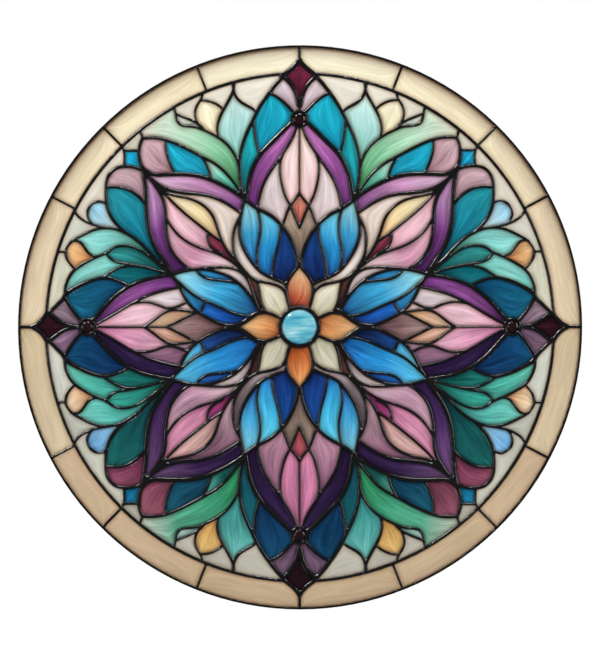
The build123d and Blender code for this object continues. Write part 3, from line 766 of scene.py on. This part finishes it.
def bead_piece(name, node, level, step, aspect, side, sweeps):
    """One face's solder as a rounded skin over all seams, as high as a film blown over their gaps."""
    loops = outlines(node, level)
    sizes = [abs(area(p)) for p in loops]
    outer = int(np.argmax(sizes))
    panes = [p for k, p in enumerate(loops) if k != outer]
    openings = [widened(respaced(p, 0.25 * step), BEAD_INSET) for p in panes]
    edge_radius = BEAD_EDGE_RADIUS + TUCK
    half = int(edge_radius / step) + 2
    grid = (np.arange(2 * half + 1) - half) * step
    gx, gz = np.meshgrid(grid, grid)
    radius = np.hypot(gx, gz)
    solder = (radius < edge_radius) & ~covered(openings, step, half)
    film = np.zeros(solder.shape, np.float32)
    source = np.float32(step * step)
    weight = solder.astype(np.float32)
    for _ in range(sweeps):
        total = np.zeros_like(film)
        total[1:-1, 1:-1] = film[:-2, 1:-1] + film[2:, 1:-1] + film[1:-1, :-2] + film[1:-1, 2:]
        film = weight * (total + source) * np.float32(0.25)
    height = aspect * np.sqrt(2 * film)
    height = BEAD_LIMIT * np.tanh(height / BEAD_LIMIT)
    grown = solder.copy()
    for shift in ((0, 1), (0, -1), (1, 0), (-1, 0), (1, 1), (1, -1), (-1, 1), (-1, -1)):
        grown |= np.roll(solder, shift, axis=(0, 1))
    ring = np.linspace(0, 2 * math.pi, int(2 * math.pi * edge_radius / (0.3 * step)), endpoint=False)
    rim_line = edge_radius * np.column_stack([np.cos(ring), np.sin(ring)])
    tree_points = np.vstack(openings + [rim_line])
    tree = kdtree.KDTree(len(tree_points))
    for k, (x, z) in enumerate(tree_points):
        tree.insert((x, z, 0), k)
    tree.balance()
    index = -np.ones(solder.shape, np.int64)
    rows, columns = np.nonzero(grown)
    index[rows, columns] = np.arange(len(rows))
    x = gx[rows, columns].copy()
    z = gz[rows, columns].copy()
    rise = height[rows, columns].astype(float)
    for k in np.flatnonzero(~solder[rows, columns]):
        spot, _, _ = tree.find((x[k], z[k], 0))
        x[k], z[k] = spot[0], spot[1]
        rise[k] = -BEAD_DIP
    swell = np.sin(x * 410 + 3 * np.sin(z * 130)) * np.sin(z * 370 + 2 * np.sin(x * 150))
    wobble = 1 + BEAD_WOBBLE * swell
    y = side * (GLASS_FACE + rise * wobble)
    corners = grown[:-1, :-1] & grown[1:, :-1] & grown[:-1, 1:] & grown[1:, 1:]
    touching = solder[:-1, :-1] | solder[1:, :-1] | solder[:-1, 1:] | solder[1:, 1:]
    r, c = np.nonzero(corners & touching)
    quads = np.column_stack([index[r, c], index[r, c + 1], index[r + 1, c + 1], index[r + 1, c]])
    if side > 0:
        quads = quads[:, ::-1]
    points = np.column_stack([x, y, z])
    return new_object(name, points, quads.tolist(), PATINA, PANEL, [node])


bead_piece("solder_front", "front_bead", -BEAD_FACE, FRONT_STEP, FRONT_ASPECT, -1, FRONT_SWEEPS)
bead_piece("solder_back", "back_bead", BEAD_FACE, BACK_STEP, BACK_ASPECT, 1, BACK_SWEEPS)

# ---------------------------------------------------------------- jewels


def jewel(x, z, seat, neck, top):
    """A smooth round jewel: seat under the solder, steep shoulder, soft dome, slightly uneven."""
    segments = JEWEL_SEGMENTS
    profile = [(seat, GLASS_FACE), (seat, -GLASS_FACE), (neck * 1.01, -GLASS_FACE)]
    shoulder = SHOULDER_PART * (top - GLASS_FACE)
    profile.append((neck, -GLASS_FACE - 0.5 * shoulder))
    for k in range(JEWEL_RINGS):
        a = 0.5 * math.pi * k / JEWEL_RINGS
        lift = (top - GLASS_FACE - shoulder) * math.sin(a) ** 0.9
        profile.append((neck * math.cos(a) ** 0.85, -(GLASS_FACE + shoulder + lift)))
    points = []
    for r, y in profile:
        for s in range(segments):
            a = 2 * math.pi * s / segments
            px, pz = x + r * math.cos(a), z + r * math.sin(a)
            if y < -GLASS_FACE:
                bump = JEWEL_UNEVEN * noise.noise(Vector((px * 240, pz * 240, 3.1)))
            else:
                bump = 0
            points.append((px, y + bump, pz))
    faces = []
    for ring in range(len(profile) - 1):
        for s in range(segments):
            a, b = ring * segments + s, ring * segments + (s + 1) % segments
            faces.append((a, b, b + segments, a + segments))
    points.append((x, -top, z))
    last = (len(profile) - 1) * segments
    for s in range(segments):
        faces.append((last + s, last + (s + 1) % segments, len(points) - 1))
    faces.append(tuple(range(segments))[::-1])
    return points, faces


def cad_spots(node):
    """Centre and radius of each round piece of a node."""
    return [(middle(p), math.sqrt(abs(area(p)) / math.pi)) for p in outlines(node, GLASS_FACE)]


def jewel_object(name, node, material):
    """All jewels of a node as one piece, each as high as the CAD jewel."""
    top = -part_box(node)[0].y
    points = []
    faces = []
    for at, seat in cad_spots(node):
        more, links = jewel(at[0], at[1], seat, seat - FOIL_LAP - JEWEL_LIP, top)
        faces += [tuple(k + len(points) for k in f) for f in links]
        points += more
    return new_object(name, points, faces, material, PANEL, [node])


jewel_object("jewel_centre", "centre_jewel", TURQUOISE)
jewel_object("jewels_garnet", "garnet_jewels", GARNET)

# ---------------------------------------------------------------- carried-over metal

FINISH = {
    "rim_channel": CHANNEL,
    "rim_joint_solder": PATINA,
    "seam_core": PATINA,
    "hanger_tab_left": CHANNEL,
    "hanger_tab_right": CHANNEL,
    "hanger_ring_left": CHANNEL,
    "hanger_ring_right": CHANNEL,
}
for node, material in FINISH.items():
    mesh = nodes[node].data
    mesh.materials.clear()
    mesh.materials.append(material)

# ---------------------------------------------------------------- stage, light and camera

floor_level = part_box("rim_channel")[0].z
SURROUND = 12.0


def surround():
    """White box round everything. Only the camera sees it, so it adds no light or reflection."""
    signs = (-1, 1)
    points = [
        (x * SURROUND, y * SURROUND, z * SURROUND) for x in signs for y in signs for z in signs
    ]
    faces = [(0, 1, 3, 2), (4, 6, 7, 5), (0, 4, 5, 1), (2, 3, 7, 6), (0, 2, 6, 4), (1, 5, 7, 3)]
    mesh = bpy.data.meshes.new("surround")
    mesh.from_pydata(points, [], faces)
    n = Nodes("white_surround")
    n.set(Base_Color=(0, 0, 0, 1), Roughness=1.0, Specular_IOR_Level=0.0)
    n.set(Emission_Color=(1, 1, 1, 1), Emission_Strength=1.0)
    mesh.materials.append(n.material)
    piece = bpy.data.objects.new("surround", mesh)
    piece.visible_diffuse = piece.visible_glossy = piece.visible_transmission = False
    piece.visible_volume_scatter = piece.visible_shadow = False
    bpy.context.scene.collection.objects.link(piece)


def backdrop():
    """Pale floor that sweeps up into a wall behind the panel. It only bounces light."""
    front, back, height, bend, width, bend_steps = -4.0, 1.6, 3.6, 0.8, 5.0, 16
    profile = [(front, 0.0), (back - bend, 0.0)]
    for k in range(1, bend_steps + 1):
        a = 0.5 * math.pi * k / bend_steps
        profile.append((back - bend + bend * math.sin(a), bend - bend * math.cos(a)))
    profile.append((back, height))
    points = [(x, y, floor_level + z) for y, z in profile for x in (-width, width)]
    faces = [(2 * k, 2 * k + 1, 2 * k + 3, 2 * k + 2) for k in range(len(profile) - 1)]
    mesh = bpy.data.meshes.new("backdrop")
    mesh.from_pydata(points, [], faces)
    mesh.polygons.foreach_set("use_smooth", [True] * len(faces))
    n = Nodes("pale_paper")
    at = n.add("ShaderNodeTexCoord").outputs["Object"]
    fibre = n.noise(at, 9.0, 3.0)
    ramp = n.add("ShaderNodeValToRGB")
    ramp.color_ramp.elements[0].color = (0.86, 0.86, 0.855, 1)
    ramp.color_ramp.elements[1].color = (0.9, 0.9, 0.9, 1)
    n.link(fibre, ramp.inputs["Fac"])
    n.link(ramp.outputs["Color"], n.shader.inputs["Base Color"])
    n.set(Roughness=0.85, Specular_IOR_Level=0.1)
    mesh.materials.append(n.material)
    piece = bpy.data.objects.new("backdrop", mesh)
    piece.visible_glossy = False
    piece.visible_camera = False
    bpy.context.scene.collection.objects.link(piece)


def area_light(name, at, aim, size, power):
    """A rectangular light in watts, aimed at a point."""
    data = bpy.data.lights.new(name, "AREA")
    data.shape = "RECTANGLE"
    data.size, data.size_y = size
    data.energy = power
    light = bpy.data.objects.new(name, data)
    light.location = at
    light.rotation_euler = (Vector(aim) - Vector(at)).to_track_quat("-Z", "Y").to_euler()
    bpy.context.scene.collection.objects.link(light)


surround()
backdrop()
world = bpy.data.worlds.new("studio")
world.use_nodes = True
world.node_tree.nodes["Background"].inputs["Color"].default_value = (1.0, 1.0, 1.0, 1)
world.node_tree.nodes["Background"].inputs["Strength"].default_value = 0.08
bpy.context.scene.world = world

area_light("key", (-1.7, -1.7, 2.0), (0, 0, 0), (0.5, 0.5), 37.5)
area_light("top_strip", (0.1, -0.58, 1.6), (0, 0, 0), (0.8, 0.07), 12.5)
area_light("side_fill", (2.0, -1.6, 0.7), (0, 0, 0), (0.25, 1.6), 18.2)
area_light("left_fill", (-2.2, -1.5, 0.1), (0, 0, 0), (0.2, 1.2), 8.7)
area_light("back_wash", (0, 0.6, 1.5), (0, 1.6, 0.1), (2.4, 0.5), 34.0)

CAMERA_DISTANCE = 3.2
LENS = 198.4
CAMERA_AIM = Vector((0.0004, 0, -0.0005))
camera_data = bpy.data.cameras.new("camera")
camera_data.lens = LENS
camera_data.sensor_width = 36.0
camera_data.clip_end = 20.0
camera = bpy.data.objects.new("camera", camera_data)
turn, lift = math.radians(1.6), math.radians(-1.2)
camera.location = (
    CAMERA_DISTANCE * math.sin(turn) * math.cos(lift),
    -CAMERA_DISTANCE * math.cos(turn) * math.cos(lift),
    CAMERA_DISTANCE * math.sin(lift),
)
camera.rotation_euler = (CAMERA_AIM - camera.location).to_track_quat("-Z", "Y").to_euler()
bpy.context.scene.collection.objects.link(camera)
bpy.context.scene.camera = camera
bpy.context.scene.view_settings.view_transform = "Standard"
